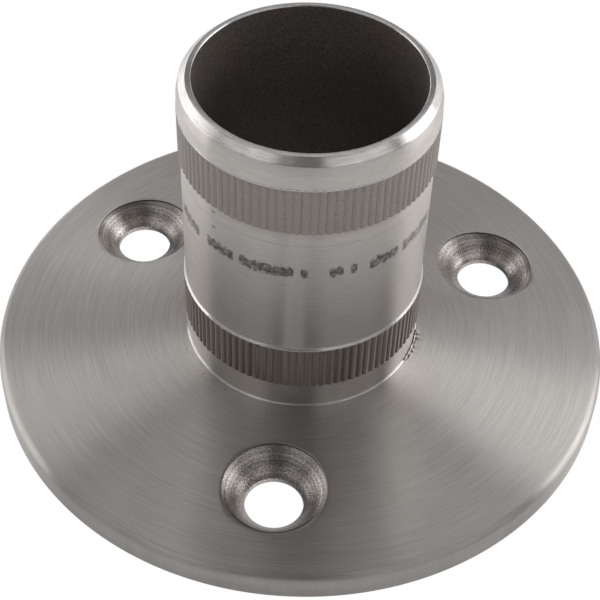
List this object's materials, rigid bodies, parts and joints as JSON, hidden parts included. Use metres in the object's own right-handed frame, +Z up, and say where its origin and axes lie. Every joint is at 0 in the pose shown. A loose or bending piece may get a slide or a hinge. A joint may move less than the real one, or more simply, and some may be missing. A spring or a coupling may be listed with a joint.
{
  "type": "stanchion base",
  "caption": "Round crowned base plate with countersunk screw holes and an upright knurled tube spigot, welded from below, that a stanchion or rail tube slides over.",
  "frame": {"origin": "centre of the plate's underside, on the plane of the face that rests on the deck", "axes": "+Z up along the spigot, out of the deck; one screw hole lies towards -Y"},
  "size_m": [0.1, 0.1, 0.056],
  "materials": {
    "brushed_plate": "satin, brushed in circles round the spigot",
    "turned_tube": "fine turned, dull dark bore",
    "weld_metal": "as welded, rippled, with heat tint"
  },
  "bodies": {
    "root": {"flange_disc": "brushed_plate", "spigot_tube": "turned_tube", "weld_bead": "weld_metal"}
  },
  "joints": []
}
